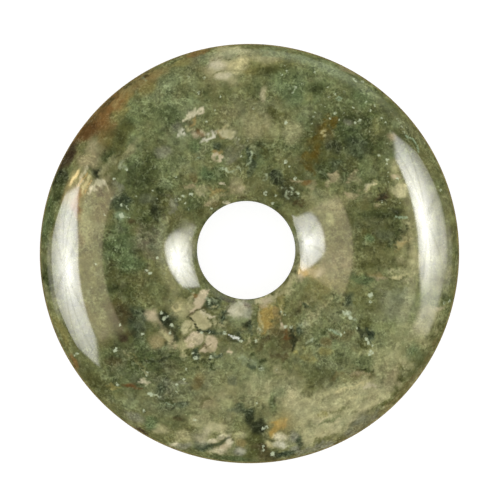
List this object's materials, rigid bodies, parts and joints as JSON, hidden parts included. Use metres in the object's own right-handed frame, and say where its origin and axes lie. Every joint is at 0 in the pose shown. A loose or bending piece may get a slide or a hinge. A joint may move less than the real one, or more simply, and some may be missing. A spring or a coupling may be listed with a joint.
{
  "type": "agate donut pendant stone",
  "caption": "Flat round ring of polished moss agate with domed faces and a drilled hole that a cord is looped through.",
  "frame": {"origin": "under the centre of the outer rim, on the plane that the lower face's flat crown rests on", "axes": "+Z is the hole's axis and points up out of the pictured face; the ring lies flat, +X is the picture's right and +Y the picture's top, and the hole sits slightly towards -X and +Y"},
  "size_m": [0.04, 0.04, 0.006],
  "materials": {
    "moss_agate": "high polish"
  },
  "bodies": {
    "root": {"donut": "moss_agate"}
  },
  "joints": []
}
